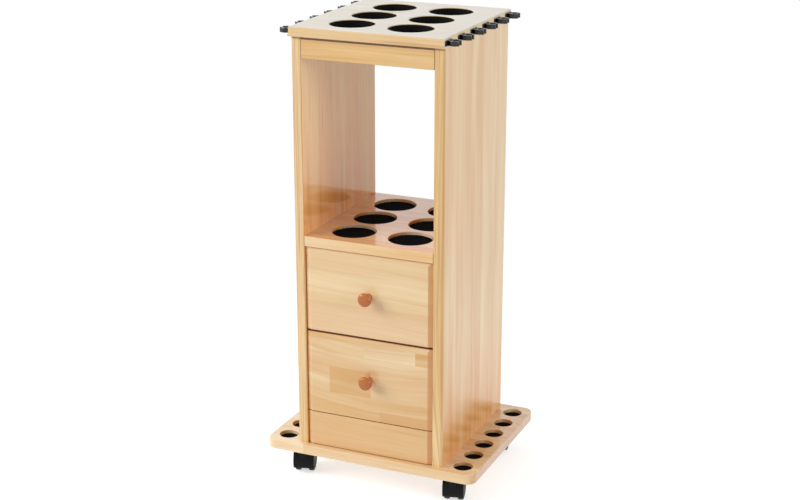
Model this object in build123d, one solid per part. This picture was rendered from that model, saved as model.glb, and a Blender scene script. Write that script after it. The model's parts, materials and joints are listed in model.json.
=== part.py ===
from build123d import *
import math
import os

os.makedirs("parts", exist_ok=True)

# A rolling pine cabinet that stores fishing rods upright in clips along both sides,
# rod tubes upright through the top, and small gear in two drawers.
# All sizes are millimetres. The origin is on the floor under the middle of the case:
# X runs to the right, Y to the back and Z up, and the drawers open towards -Y.

# ---------------------------------------------------------------- driving dimensions

# Case
case_width = 270.0
panel_depth = 290.0
panel_thickness = 18.0
panel_height = 716.0
panel_outer_radius = 5.0
panel_inner_radius = 1.5

# Base plate
base_side_ledge = 60.0
base_end_ledge = 9.0
base_thickness = 18.0
base_corner_radius = 17.0
base_edge_radius = 1.5

# Top plate: a rebate along each side edge leaves a lip under the rod clips
top_side_overhang = 3.0
top_end_overhang = 7.0
top_thickness = 16.0
top_rebate_depth = 2.5
top_lip_height = 3.5
top_corner_radius = 2.0
top_edge_radius = 1.5

# Tube storage: holes through the top, blind pockets in the shelf under them
tube_columns = 2
tube_rows = 3
tube_spacing_x = 104.0
tube_spacing_y = 86.0
tube_hole_radius = 38.0
tube_pocket_depth = 8.0
liner_wall = 3.0
liner_setback = 1.0
pad_thickness = 3.0

# Rod storage: clips on the top plate, blind pockets in the base plate
rods_per_side = 6
clip_end_inset = 17.0
rod_pocket_end_inset = 31.5
rod_pocket_radius = 16.5
rod_pocket_inset = 30.0
rod_pocket_depth = 9.0
pocket_edge_radius = 1.0

# Rod clip
clip_height = 8.0
clip_bore_radius = 7.5
clip_wall = 2.5
clip_mouth_half_angle = 33.0
clip_tip_radius = 1.9
clip_foot_thickness = 2.5
clip_foot_overlap = 1.5
clip_foot_corner = 2.0
clip_foot_width = 26.0
clip_foot_margin = 0.4

# Shelf, rails and toe panel
shelf_height = 379.0
shelf_thickness = 18.0
rail_height = 36.0
rail_thickness = 18.0
toe_height = 62.0
toe_gap = 1.0
toe_cleat_size = 20.0
toe_cleat_length = 190.0

# Back panel of the drawer bay
back_thickness = 6.0
back_groove_depth = 5.0
back_setback = 8.0

# Drawers
drawer_count = 2
front_thickness = 18.0
front_recess = 2.0
front_side_gap = 1.5
front_end_gap = 1.5
front_between_gap = 3.0
front_end_bevel = 8.0
front_end_bevel_depth = 2.2
front_top_bevel = 5.0
front_top_bevel_depth = 1.5
box_height = 118.0
box_lift = 10.0
box_wall = 12.0
box_back_gap = 2.5
box_edge_radius = 1.5
box_housing = 6.0
bottom_thickness = 5.0
bottom_lift = 7.0
bottom_groove_depth = 5.0

# Runners
runner_height = 15.0
runner_side_gap = 0.5
runner_back_gap = 13.5
runner_front_gap = 1.0
runner_end_chamfer = 1.0
runner_lift = 66.0
runner_groove_depth = 6.0

# Knob
knob_radius = 12.0
knob_length = 21.5
knob_foot_radius = 7.0
knob_foot_length = 1.5
knob_neck_radius = 5.2
knob_neck_place = 6.8
knob_rim_start = 12.4
knob_rim_middle = 15.7
knob_rim_end = 19.6
knob_rim_rounding = 1.6
knob_crown_drop = 0.5
knob_screw_radius = 2.0
knob_screw_engagement = 11.0
knob_screw_head_radius = 4.5
knob_screw_head_height = 2.4
knob_screw_head_rounding = 1.0
knob_slot = (4.6, 1.4)

# Dowels
dowel_radius = 4.0
dowel_chamfer = 0.8
dowel_end_gap = 0.3
panel_dowel_depth = 9.0
rail_dowel_depth = 20.0
shelf_dowel_depth = 16.0
top_dowel_depth = 10.0
top_dowel_panel_depth = 20.0
top_dowel_spacing = 100.0
shelf_dowel_spacing = 100.0
rail_dowel_spacing = 18.0

# Screws
screw_head_land = 0.4
screw_point_length = 3.0
case_slot = (4.4, 1.6)
runner_slot = (3.6, 1.2)
clip_slot = (2.4, 0.9)
caster_slot = (3.6, 1.1)
case_screw_radius = 2.2
case_screw_head_radius = 4.2
case_screw_length = 50.0
case_screw_spacing = 62.0
runner_screw_radius = 1.75
runner_screw_head_radius = 3.4
runner_screw_length = 19.0
runner_screw_inset = 30.0
clip_screw_radius = 1.25
clip_screw_head_radius = 2.4
clip_screw_length = 15.0
cleat_screw_length = 32.0
cleat_screw_spacing = 130.0
cleat_screw_inset = 8.0
caster_screw_radius = 1.9
caster_screw_head_radius = 3.6
caster_screw_head_height = 2.0
caster_screw_length = 10.5
caster_screw_head_rounding = 0.9

# Casters
caster_height = 60.0
caster_inset_x = 52.0
caster_inset_y = 44.0
caster_plate_size = 42.0
caster_plate_thickness = 2.5
caster_plate_corner = 4.0
caster_hole_spacing = 31.0
caster_hole_growth = 0.2
caster_cup_radius = 11.0
caster_cup_height = 1.4
caster_trail = 18.0
caster_yaws = {"front_left": 17.0, "front_right": 14.0, "rear_left": 30.0, "rear_right": 14.0}
kingpin_radius = 4.0
kingpin_length = 21.0
kingpin_bead = 0.6
kingpin_bead_height = 2.0
kingpin_head_height = 1.2
wheel_radius = 25.0
wheel_tread = 9.0
wheel_dome = 2.0
wheel_hub_bore_depth = 8.5
wheel_edge_radius = 1.2
web_thickness = 13.0
web_radius = 20.0
web_side_gap = 1.0
hood_gap = 1.0
hood_wall = 2.5
hood_width = 37.0
hood_boss_radius = 10.0
hood_front_drop = 24.0
hood_back_rise = 35.0
axle_radius = 3.0

# Fits
running_clearance = 0.05
glue_clearance = 0.05
soft_clearance = 0.15
slide_clearance = 0.3
panel_clearance = 0.25

# ---------------------------------------------------------------- derived places

base_bottom = caster_height
base_top = base_bottom + base_thickness
plate_bottom = base_top + panel_height
plate_top = plate_bottom + top_thickness
panel_outer_x = case_width / 2
panel_inner_x = panel_outer_x - panel_thickness
bay_width = 2 * panel_inner_x
case_front_y = -panel_depth / 2
case_back_y = panel_depth / 2
base_width = case_width + 2 * base_side_ledge
base_depth = panel_depth + 2 * base_end_ledge
top_lip_width = case_width + 2 * top_side_overhang
top_depth = panel_depth + 2 * top_end_overhang
clip_spacing = (top_depth - 2 * clip_end_inset) / (rods_per_side - 1)
rod_pocket_spacing = (base_depth - 2 * rod_pocket_end_inset) / (rods_per_side - 1)
shelf_top = base_top + shelf_height
shelf_bottom = shelf_top - shelf_thickness
toe_top = base_top + toe_height
front_face_y = case_front_y + front_recess
front_back_y = front_face_y + front_thickness
front_width = bay_width - 2 * front_side_gap
front_stack = shelf_bottom - toe_top - 2 * front_end_gap - (drawer_count - 1) * front_between_gap
front_height = front_stack / drawer_count
groove_back_y = case_back_y - back_setback
groove_front_y = groove_back_y - back_thickness
box_length = groove_front_y - box_back_gap - front_back_y
runner_width = front_side_gap + runner_groove_depth - runner_side_gap
runner_length = groove_front_y - runner_back_gap - runner_front_gap - front_back_y
lip_x = top_lip_width / 2
rebate_x = lip_x - top_rebate_depth
rebate_bottom = plate_bottom + top_lip_height
clip_z = plate_bottom + top_thickness / 2
clip_foot_height = 2 * (clip_z - rebate_bottom) - clip_foot_margin
clip_outer_radius = clip_bore_radius + clip_wall
clip_x = rebate_x + clip_foot_thickness - clip_foot_overlap + clip_outer_radius
rod_pocket_x = base_width / 2 - rod_pocket_inset
caster_x = base_width / 2 - caster_inset_x
caster_y = base_depth / 2 - caster_inset_y


# ---------------------------------------------------------------- small helpers


def block(x, y, z):
    # A box between the low and high value of each axis.
    size = Box(x[1] - x[0], y[1] - y[0], z[1] - z[0])
    return Pos((x[0] + x[1]) / 2, (y[0] + y[1]) / 2, (z[0] + z[1]) / 2) * size


def disc(radius, z, at=(0.0, 0.0)):
    # An upright cylinder between two heights.
    return Pos(at[0], at[1], (z[0] + z[1]) / 2) * Cylinder(radius, z[1] - z[0])


def pin_x(radius, x, y, z):
    # A cylinder that lies along X between two values.
    return Pos((x[0] + x[1]) / 2, y, z) * Rot(0, 90, 0) * Cylinder(radius, abs(x[1] - x[0]))


def pin_y(radius, y, x, z):
    # A cylinder that lies along Y between two values.
    return Pos(x, (y[0] + y[1]) / 2, z) * Rot(90, 0, 0) * Cylinder(radius, abs(y[1] - y[0]))


def prism(points, low, high, plane=Plane.XY):
    # A flat outline drawn on a plane and drawn out between two offsets from it.
    sketch = plane.offset(low) * make_face(Polyline(*points, close=True))
    return extrude(sketch, amount=high - low)


def spread(count, spacing):
    # Evenly spaced places about zero.
    return [(i - (count - 1) / 2) * spacing for i in range(count)]


def countersunk(radius, head_radius, length):
    # A flat-headed screw along +Z, with its head's face at zero and its point at length.
    head = head_radius - radius
    outline = [
        (0, 0),
        (head_radius, 0),
        (head_radius, screw_head_land),
        (radius, screw_head_land + head),
        (radius, length - screw_point_length),
        (0, length),
    ]
    return revolve(Plane.XZ * make_face(Polyline(*outline, close=True)), Axis.Z)


def cross_slot(width, depth):
    # The driver recess in a screw's head, sunk along +Z from zero.
    arm = Box(width, width / 4, 2 * depth)
    return arm + Rot(0, 0, 90) * arm


def write(name, shape):
    parts = shape if isinstance(shape, list) else [shape]
    solids = [s for p in parts for s in p.solids()]
    body = Compound(children=solids) if len(solids) > 1 else solids[0]
    body.label = name
    export_step(body, f"parts/{name}.step")
    print(name, len(solids))


# ---------------------------------------------------------------- places of repeats

tube_places = [
    (x, y)
    for y in spread(tube_rows, tube_spacing_y)
    for x in spread(tube_columns, tube_spacing_x)
]
rod_pocket_ys = spread(rods_per_side, rod_pocket_spacing)
clip_ys = spread(rods_per_side, clip_spacing)
sides = {"left": -1, "right": 1}
top_dowel_ys = spread(3, top_dowel_spacing)
shelf_dowel_ys = spread(3, shelf_dowel_spacing)
case_screw_ys = spread(3, case_screw_spacing)
panel_middle_x = panel_outer_x - panel_thickness / 2
dowel_hole = dowel_radius + glue_clearance
front_rail_y = case_front_y + rail_thickness / 2
rear_rail_y = case_back_y - rail_thickness / 2
rail_middle = plate_bottom - rail_height / 2
rail_dowel_zs = [rail_middle + z for z in spread(2, rail_dowel_spacing)]
cleat_y = (front_back_y, front_back_y + toe_cleat_size)
cleat_screw_xs = spread(2, cleat_screw_spacing)
cleat_screw_y = cleat_y[1] - cleat_screw_inset
runner_y = (front_back_y + runner_front_gap, front_back_y + runner_front_gap + runner_length)
runner_screw_ys = [runner_y[0] + runner_screw_inset, runner_y[1] - runner_screw_inset]

drawer_names = ["lower", "upper"]
front_bottoms = {
    name: toe_top + front_end_gap + i * (front_height + front_between_gap)
    for i, name in enumerate(drawer_names)
}
runner_heights = {name: z + box_lift + runner_lift for name, z in front_bottoms.items()}


# ---------------------------------------------------------------- base plate


def make_base():
    plate = extrude(
        Plane.XY.offset(base_bottom)
        * RectangleRounded(base_width, base_depth, base_corner_radius),
        amount=base_thickness,
    )
    rims = plate.edges().filter_by(Axis.Z, reverse=True)
    plate = fillet(rims, base_edge_radius)
    for side in sides.values():
        for y in rod_pocket_ys:
            floor = base_top - rod_pocket_depth
            plate -= disc(rod_pocket_radius, (floor, base_top + 1), (side * rod_pocket_x, y))
        for y in case_screw_ys:
            plate -= screw_hole_up(side * panel_middle_x, y, case_screw_radius, case_screw_head_radius)
    mouths = [
        e
        for e in plate.edges().filter_by(GeomType.CIRCLE)
        if abs(e.center().Z - base_top) < 0.01 and abs(e.radius - rod_pocket_radius) < 0.01
    ]
    plate = fillet(mouths, pocket_edge_radius)
    for x in cleat_screw_xs:
        plate -= screw_hole_up(x, cleat_screw_y, case_screw_radius, case_screw_head_radius)
    for x, y in caster_places().values():
        for hole in caster_holes(x, y):
            hole_top = base_bottom - caster_plate_thickness + caster_screw_length + panel_clearance
            plate -= disc(caster_screw_radius, (base_bottom - 1, hole_top), hole)
    return plate


def screw_hole_up(x, y, radius, head_radius):
    # A clearance hole with a countersink in the plate's underside.
    hole_radius = radius + glue_clearance
    sink_radius = head_radius + glue_clearance
    depth = screw_head_land + head_radius - radius
    outline = [
        (0, -1),
        (sink_radius, -1),
        (sink_radius, screw_head_land),
        (hole_radius, depth),
        (hole_radius, base_thickness + 1),
        (0, base_thickness + 1),
    ]
    hole = revolve(Plane.XZ * make_face(Polyline(*outline, close=True)), Axis.Z)
    return Pos(x, y, base_bottom) * hole


def caster_places():
    return {
        f"{row}_{side}": (sign * caster_x, place * caster_y)
        for row, place in (("front", -1), ("rear", 1))
        for side, sign in sides.items()
    }


def caster_holes(x, y):
    offsets = spread(2, caster_hole_spacing)
    return [(x + dx, y + dy) for dx in offsets for dy in offsets]


def make_rod_pads(side):
    floor = base_top - rod_pocket_depth
    radius = rod_pocket_radius - soft_clearance
    return [
        disc(radius, (floor, floor + pad_thickness), (side * rod_pocket_x, y))
        for y in rod_pocket_ys
    ]


# ---------------------------------------------------------------- side panels


def make_side_panel(side):
    # Built as the right-hand panel, then mirrored for the left.
    xs = (panel_inner_x, panel_outer_x)
    panel = block(xs, (case_front_y, case_back_y), (base_top, plate_bottom))
    outer = [e for e in panel.edges().filter_by(Axis.Z) if e.center().X > panel_middle_x]
    panel = fillet(outer, panel_outer_radius)
    inner = [
        e
        for e in panel.edges().filter_by(Axis.Z)
        if e.center().X < panel_inner_x + 0.01 and e.length > panel_height - 1
    ]
    panel = fillet(inner, panel_inner_radius)
    for y in case_screw_ys:
        high = base_top + case_screw_length - base_thickness
        panel -= disc(case_screw_radius + glue_clearance, (base_top - 1, high), (panel_middle_x, y))
    for y in top_dowel_ys:
        low = plate_bottom - top_dowel_panel_depth
        panel -= disc(dowel_hole, (low, plate_bottom + 1), (panel_middle_x, y))
    dowel_x = (panel_inner_x - 1, panel_inner_x + panel_dowel_depth)
    for y in shelf_dowel_ys:
        panel -= pin_x(dowel_hole, dowel_x, y, shelf_bottom + shelf_thickness / 2)
    for y in (front_rail_y, rear_rail_y):
        for z in rail_dowel_zs:
            panel -= pin_x(dowel_hole, dowel_x, y, z)
    for z in runner_heights.values():
        for y in runner_screw_ys:
            reach = panel_inner_x - runner_width + runner_screw_length
            panel -= pin_x(runner_screw_radius + glue_clearance, (panel_inner_x - 1, reach), y, z)
    panel -= block(
        (panel_inner_x - 1, panel_inner_x + back_groove_depth),
        (groove_front_y - panel_clearance, groove_back_y + panel_clearance),
        (base_top - 1, shelf_bottom),
    )
    return panel if side > 0 else mirror(panel, about=Plane.YZ)


# ---------------------------------------------------------------- top plate and liners


def make_top():
    plate = block((-lip_x, lip_x), (-top_depth / 2, top_depth / 2), (plate_bottom, plate_top))
    plate = fillet(plate.edges().filter_by(Axis.Z), top_corner_radius)
    rims = plate.edges().filter_by(Axis.Z, reverse=True)
    plate = fillet(rims, top_edge_radius)
    for side in sides.values():
        xs = sorted((side * rebate_x, side * (lip_x + 1)))
        plate -= block(xs, (-top_depth, top_depth), (rebate_bottom, plate_top + 1))
        for y in clip_ys:
            reach = side * (clip_screw_start() - clip_screw_length)
            hole_x = sorted((reach, side * (rebate_x + 1)))
            plate -= pin_x(clip_screw_radius + glue_clearance, hole_x, y, clip_z)
        for y in top_dowel_ys:
            high = plate_bottom + top_dowel_depth
            plate -= disc(dowel_hole, (plate_bottom - 1, high), (side * panel_middle_x, y))
    for place in tube_places:
        plate -= disc(tube_hole_radius, (plate_bottom - 1, plate_top + 1), place)
    rims = [
        e
        for e in plate.edges().filter_by(GeomType.CIRCLE)
        if abs(e.radius - tube_hole_radius) < 0.01
    ]
    return fillet(rims, pocket_edge_radius)


def make_liners():
    # Soft rings that keep a tube from rattling in its hole.
    heights = (plate_bottom + liner_setback, plate_top - liner_setback)
    outer = tube_hole_radius - soft_clearance
    inner = tube_hole_radius - liner_wall
    margin = (heights[0] - 1, heights[1] + 1)
    return [disc(outer, heights, p) - disc(inner, margin, p) for p in tube_places]


# ---------------------------------------------------------------- shelf, rails, panels


def make_shelf():
    shelf = block(
        (-panel_inner_x, panel_inner_x), (case_front_y, case_back_y), (shelf_bottom, shelf_top)
    )
    long_edges = shelf.edges().filter_by(Axis.X)
    shelf = fillet(long_edges, pocket_edge_radius)
    for place in tube_places:
        shelf -= disc(tube_hole_radius, (shelf_top - tube_pocket_depth, shelf_top + 1), place)
    mouths = [
        e
        for e in shelf.edges().filter_by(GeomType.CIRCLE)
        if abs(e.center().Z - shelf_top) < 0.01 and abs(e.radius - tube_hole_radius) < 0.01
    ]
    shelf = fillet(mouths, pocket_edge_radius)
    for side in sides.values():
        xs = sorted((side * (panel_inner_x - shelf_dowel_depth), side * (panel_inner_x + 1)))
        for y in shelf_dowel_ys:
            shelf -= pin_x(dowel_hole, xs, y, shelf_bottom + shelf_thickness / 2)
    return shelf


def make_tube_pads():
    floor = shelf_top - tube_pocket_depth
    radius = tube_hole_radius - soft_clearance
    return [disc(radius, (floor, floor + pad_thickness), p) for p in tube_places]


def make_rail(middle_y):
    ys = (middle_y - rail_thickness / 2, middle_y + rail_thickness / 2)
    rail = block((-panel_inner_x, panel_inner_x), ys, (plate_bottom - rail_height, plate_bottom))
    lower = [e for e in rail.edges().filter_by(Axis.X) if e.center().Z < rail_middle]
    rail = fillet(lower, pocket_edge_radius)
    for side in sides.values():
        xs = sorted((side * (panel_inner_x - rail_dowel_depth), side * (panel_inner_x + 1)))
        for z in rail_dowel_zs:
            rail -= pin_x(dowel_hole, xs, middle_y, z)
    return rail


def bevelled_ends(z):
    # A board whose ends slope back from its face.
    half = front_width / 2
    board = block((-half, half), (front_face_y, front_back_y), z)
    for side in sides.values():
        corner = [
            (side * (half - front_end_bevel), front_face_y),
            (side * (half + 1), front_face_y - 1),
            (side * (half + 1), front_face_y + front_end_bevel_depth),
            (side * half, front_face_y + front_end_bevel_depth),
        ]
        board -= prism(corner, z[0] - 1, z[1] + 1)
    return board


def bevelled_front(z):
    # A drawer front: its top edge slopes back too.
    half = front_width / 2
    slope = [
        (front_face_y, z[1] - front_top_bevel),
        (front_face_y - 1, z[1] + 1),
        (front_face_y + front_top_bevel_depth, z[1] + 1),
        (front_face_y + front_top_bevel_depth, z[1]),
    ]
    return bevelled_ends(z) - prism(slope, -half - 1, half + 1, Plane.YZ)


def make_cleat():
    # The block that holds the toe panel, screwed down to the base plate from below.
    xs = (-toe_cleat_length / 2, toe_cleat_length / 2)
    cleat = block(xs, cleat_y, (base_top, base_top + toe_cleat_size))
    depth = cleat_screw_length - base_thickness
    for x in cleat_screw_xs:
        hole = (base_top - 1, base_top + depth)
        cleat -= disc(case_screw_radius + glue_clearance, hole, (x, cleat_screw_y))
    return cleat


def make_back():
    half = panel_inner_x + back_groove_depth - panel_clearance
    return block((-half, half), (groove_front_y, groove_back_y), (base_top, shelf_bottom))


def make_runners(side):
    runners = []
    for z in runner_heights.values():
        xs = (panel_inner_x - runner_width, panel_inner_x)
        runner = block(xs, runner_y, (z - runner_height / 2, z + runner_height / 2))
        runner = chamfer(runner.faces().sort_by(Axis.Y)[-1].edges(), runner_end_chamfer)
        for y in runner_screw_ys:
            runner -= runner_screw(y, z, glue_clearance)
        runners.append(runner if side > 0 else mirror(runner, about=Plane.YZ))
    return runners


def runner_screw(y, z, growth):
    # The screw's head is flush with the runner's inner face; growth turns it into its hole.
    start = panel_inner_x - runner_width
    screw = countersunk(
        runner_screw_radius + growth, runner_screw_head_radius + growth, runner_screw_length
    )
    return Pos(start, y, z) * Rot(0, 90, 0) * screw


def make_runner_screws():
    screws = []
    for z in runner_heights.values():
        for y in runner_screw_ys:
            screw = runner_screw(y, z, 0.0)
            slot = Pos(panel_inner_x - runner_width, y, z) * Rot(0, 90, 0) * cross_slot(*runner_slot)
            screw -= slot
            screws += [screw, mirror(screw, about=Plane.YZ)]
    return screws


# ---------------------------------------------------------------- dowels and case screws


def dowel(length):
    peg = Cylinder(dowel_radius, length)
    return chamfer(peg.edges().filter_by(GeomType.CIRCLE), dowel_chamfer)


def make_dowels():
    end = dowel_end_gap
    pegs = []
    top_length = top_dowel_depth + top_dowel_panel_depth - 2 * end
    top_z = plate_bottom + (top_dowel_depth - top_dowel_panel_depth) / 2
    shelf_z = shelf_bottom + shelf_thickness / 2
    for side in sides.values():
        for y in top_dowel_ys:
            pegs.append(Pos(side * panel_middle_x, y, top_z) * dowel(top_length))
        lay = Rot(0, 90, 0)
        shelf_x = panel_inner_x + (panel_dowel_depth - shelf_dowel_depth) / 2
        for y in shelf_dowel_ys:
            length = panel_dowel_depth + shelf_dowel_depth - 2 * end
            pegs.append(Pos(side * shelf_x, y, shelf_z) * lay * dowel(length))
        rail_x = panel_inner_x + (panel_dowel_depth - rail_dowel_depth) / 2
        for y in (front_rail_y, rear_rail_y):
            for z in rail_dowel_zs:
                length = panel_dowel_depth + rail_dowel_depth - 2 * end
                pegs.append(Pos(side * rail_x, y, z) * lay * dowel(length))
    return pegs


def make_case_screws():
    slot = cross_slot(*case_slot)
    long_screw = countersunk(case_screw_radius, case_screw_head_radius, case_screw_length) - slot
    short_screw = countersunk(case_screw_radius, case_screw_head_radius, cleat_screw_length) - slot
    screws = [
        Pos(side * panel_middle_x, y, base_bottom) * long_screw
        for side in sides.values()
        for y in case_screw_ys
    ]
    screws += [Pos(x, cleat_screw_y, base_bottom) * short_screw for x in cleat_screw_xs]
    return screws


# ---------------------------------------------------------------- rod clips


def clip_screw_start():
    # The screw's head lies flush in the foot, inside the ring.
    return clip_x - clip_bore_radius


def make_clip():
    # One clip about its own rod axis, with its mouth towards +X and a rounded bead on each jaw.
    height = clip_height
    ring = Cylinder(clip_outer_radius, height) - Cylinder(clip_bore_radius, height + 2)
    reach = 3 * clip_outer_radius
    angle = math.radians(clip_mouth_half_angle)
    mouth = [(0, 0), (reach, reach * math.tan(angle)), (reach, -reach * math.tan(angle))]
    clip = ring - prism(mouth, -height, height)
    tip_radius = clip_bore_radius + clip_tip_radius
    for sign in (-1, 1):
        tip = (tip_radius * math.cos(angle), sign * tip_radius * math.sin(angle), 0)
        clip += Pos(*tip) * Cylinder(clip_tip_radius, height)
    foot_x = (rebate_x - clip_x, rebate_x - clip_x + clip_foot_thickness)
    half_width = clip_foot_width / 2
    half_height = clip_foot_height / 2
    foot = block(foot_x, (-half_width, half_width), (-half_height, half_height))
    foot = fillet(foot.edges().filter_by(Axis.X), clip_foot_corner)
    clip += foot - Cylinder(clip_bore_radius, 2 * clip_foot_height)
    clip -= Pos(-clip_bore_radius, 0, 0) * clip_screw(glue_clearance)
    return clip


def clip_screw(growth):
    screw = countersunk(
        clip_screw_radius + growth, clip_screw_head_radius + growth, clip_screw_length
    )
    return Rot(0, -90, 0) * screw


def make_clips(side):
    clip = make_clip()
    turn = Rot(0, 0, 0 if side > 0 else 180)
    return [Pos(side * clip_x, y, clip_z) * turn * clip for y in clip_ys]


def make_clip_screws():
    screw = clip_screw(0.0) - Rot(0, -90, 0) * cross_slot(*clip_slot)
    screw = Pos(-clip_bore_radius, 0, 0) * screw
    screws = []
    for side in sides.values():
        turn = Rot(0, 0, 0 if side > 0 else 180)
        screws += [Pos(side * clip_x, y, clip_z) * turn * screw for y in clip_ys]
    return screws


# ---------------------------------------------------------------- drawers


def make_drawer(name):
    z0 = front_bottoms[name]
    box_z = (z0 + box_lift, z0 + box_lift + box_height)
    outer = front_width / 2
    inner = outer - box_wall
    back_y = front_back_y + box_length
    floor = box_z[0] + bottom_lift
    knob_z = z0 + front_height / 2

    board = bevelled_front((z0, z0 + front_height))
    for side in sides.values():
        xs = sorted((side * (outer - box_wall - glue_clearance), side * (outer + 1)))
        housing_y = (front_back_y - box_housing, front_back_y + 1)
        board -= block(xs, housing_y, (box_z[0] - glue_clearance, box_z[1] + glue_clearance))
    groove_z = (floor - glue_clearance, floor + bottom_thickness + glue_clearance)
    board -= block((-inner - 1, inner + 1), (front_back_y - bottom_groove_depth, front_back_y + 1), groove_z)
    board -= pin_y(knob_screw_radius + running_clearance, (front_face_y - 1, front_back_y + 1), 0, knob_z)
    write(f"drawer_{name}_front", board)

    ys = (front_back_y - box_housing + glue_clearance, back_y)
    wall = block((inner, outer), ys, box_z)
    wall_top = [e for e in wall.edges().filter_by(Axis.Y) if e.center().Z > box_z[1] - 1]
    wall = fillet(wall_top, box_edge_radius)
    runner_z = runner_heights[name]
    wall -= block(
        (outer - runner_groove_depth, outer + 1),
        (front_back_y, back_y + 1),
        (runner_z - runner_height / 2 - slide_clearance, runner_z + runner_height / 2 + slide_clearance),
    )
    bottom_back_y = back_y - box_wall + bottom_groove_depth
    wall -= block((inner - 1, inner + bottom_groove_depth), (ys[0] - 1, bottom_back_y), groove_z)
    wall -= block(
        (inner - 1, inner + bottom_groove_depth),
        (back_y - box_wall - glue_clearance, back_y + 1),
        (box_z[0] - 1, box_z[1] + 1),
    )
    write(f"drawer_{name}_side_right", wall)
    write(f"drawer_{name}_side_left", mirror(wall, about=Plane.YZ))

    reach = inner + bottom_groove_depth - glue_clearance
    back = block((-reach, reach), (back_y - box_wall, back_y), box_z)
    back -= block((-reach - 1, reach + 1), (back_y - box_wall - 1, bottom_back_y), groove_z)
    write(f"drawer_{name}_back", back)

    bottom_y = (front_back_y - bottom_groove_depth + slide_clearance, bottom_back_y - slide_clearance)
    bottom = block((-reach, reach), bottom_y, (floor, floor + bottom_thickness))
    write(f"drawer_{name}_bottom", bottom)

    write(f"drawer_{name}_knob", Pos(0, front_face_y, knob_z) * make_knob())
    write(f"drawer_{name}_knob_screw", Pos(0, front_back_y, knob_z) * make_knob_screw())


def make_knob():
    # A turned knob that stands out along -Y from zero: foot, waist, head and a low crown.
    rim_radius = knob_radius - knob_rim_rounding
    outline = Polyline((0, 0), (knob_foot_radius, 0), (knob_foot_radius, -knob_foot_length))
    neck = Spline(
        (knob_foot_radius, -knob_foot_length),
        (knob_neck_radius, -knob_neck_place),
        (rim_radius, -knob_rim_start),
        tangents=((-1, -0.6), (1, -0.5)),
    )
    edge = Spline(
        (rim_radius, -knob_rim_start),
        (knob_radius, -knob_rim_middle),
        (rim_radius, -knob_rim_end),
        tangents=((1, -0.5), (-1, -1)),
    )
    crown = Spline(
        (rim_radius, -knob_rim_end),
        (knob_radius / 2, -knob_length + knob_crown_drop),
        (0, -knob_length),
        tangents=((-1, -1), (-1, 0)),
    )
    close = Line((0, -knob_length), (0, 0))
    knob = revolve(make_face(outline + neck + edge + crown + close), Axis.Y)
    pilot = knob_screw_engagement + 1.0
    return knob - pin_y(knob_screw_radius + running_clearance, (-pilot, 1), 0, 0)


def make_knob_screw():
    # A pan-head screw along -Y, with its head bearing on the board's back at zero.
    shank = pin_y(knob_screw_radius, (-front_thickness - knob_screw_engagement, 0), 0, 0)
    head = pin_y(knob_screw_head_radius, (0, knob_screw_head_height), 0, 0)
    head = fillet(head.faces().sort_by(Axis.Y)[-1].edges(), knob_screw_head_rounding)
    slot = Pos(0, knob_screw_head_height, 0) * Rot(90, 0, 0) * cross_slot(*knob_slot)
    return shank + head - slot


# ---------------------------------------------------------------- casters


def make_caster_plate():
    # The fixed half, about the swivel axis: mounting plate with its bearing cup, and kingpin.
    low = caster_height - caster_plate_thickness
    size = caster_plate_size
    plate = extrude(
        Plane.XY.offset(low) * RectangleRounded(size, size, caster_plate_corner),
        amount=caster_plate_thickness,
    )
    for hole in caster_holes(0, 0):
        plate -= disc(caster_screw_radius + caster_hole_growth, (low - 1, caster_height + 1), hole)
    plate += disc(caster_cup_radius, (low - caster_cup_height, low))
    return [plate - make_kingpin(glue_clearance), make_kingpin(0.0)]


def make_kingpin(growth):
    # The rivet that the hood turns on, about its own axis; growth turns it into its hole.
    low = caster_height - caster_plate_thickness
    pin_low = low - kingpin_length
    radius = kingpin_radius + growth
    outline = [
        (0, pin_low),
        (radius + kingpin_bead, pin_low),
        (radius + kingpin_bead, pin_low + kingpin_bead_height),
        (radius, pin_low + kingpin_bead_height),
        (radius, caster_height - kingpin_head_height),
        (radius + kingpin_head_height, caster_height),
        (0, caster_height),
    ]
    return revolve(Plane.XZ * make_face(Polyline(*outline, close=True)), Axis.Z)


def axle_cylinder(radius, x):
    # A cylinder about the wheels' axle, between two values of X.
    return pin_x(radius, x, caster_trail, wheel_radius)


def make_caster_hood():
    # The swivelling half: a web between the wheels, a boss on the kingpin and a fender.
    low = caster_height - caster_plate_thickness
    boss_top = low - caster_cup_height - slide_clearance
    well = wheel_radius + hood_gap
    shell = well + hood_wall
    half = hood_width / 2
    hood = axle_cylinder(shell, (-half, half))
    hood = fillet(hood.edges().filter_by(GeomType.CIRCLE), hood_wall * 0.8)
    hood += disc(hood_boss_radius, (wheel_radius, boss_top))
    for side in sides.values():
        xs = sorted((side * web_thickness / 2, side * (half + 1)))
        hood -= axle_cylinder(well, xs)
    hood -= make_fender_cut()
    hood += axle_cylinder(web_radius, (-web_thickness / 2, web_thickness / 2))
    pin_low = low - kingpin_length
    bore = kingpin_radius + running_clearance
    hood -= disc(bore, (pin_low - slide_clearance, boss_top + 1))
    groove = kingpin_radius + kingpin_bead + running_clearance
    bead_top = pin_low + kingpin_bead_height + slide_clearance
    hood -= disc(groove, (pin_low - slide_clearance, bead_top))
    hood -= axle_cylinder(axle_radius + running_clearance, (-half, half))
    return hood


def make_fender_cut():
    # Everything below a line from the front skirt to the axle and up to the back skirt.
    far = 3 * wheel_radius
    drop = math.radians(hood_front_drop)
    rise = math.radians(hood_back_rise)
    front = (caster_trail - far * math.cos(drop), wheel_radius - far * math.sin(drop))
    back = (caster_trail + far * math.cos(rise), wheel_radius + far * math.sin(rise))
    outline = [
        (caster_trail, wheel_radius),
        front,
        (front[0], -far),
        (back[0], -far),
        back,
    ]
    return prism(outline, -hood_width, hood_width, Plane.YZ)


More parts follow.
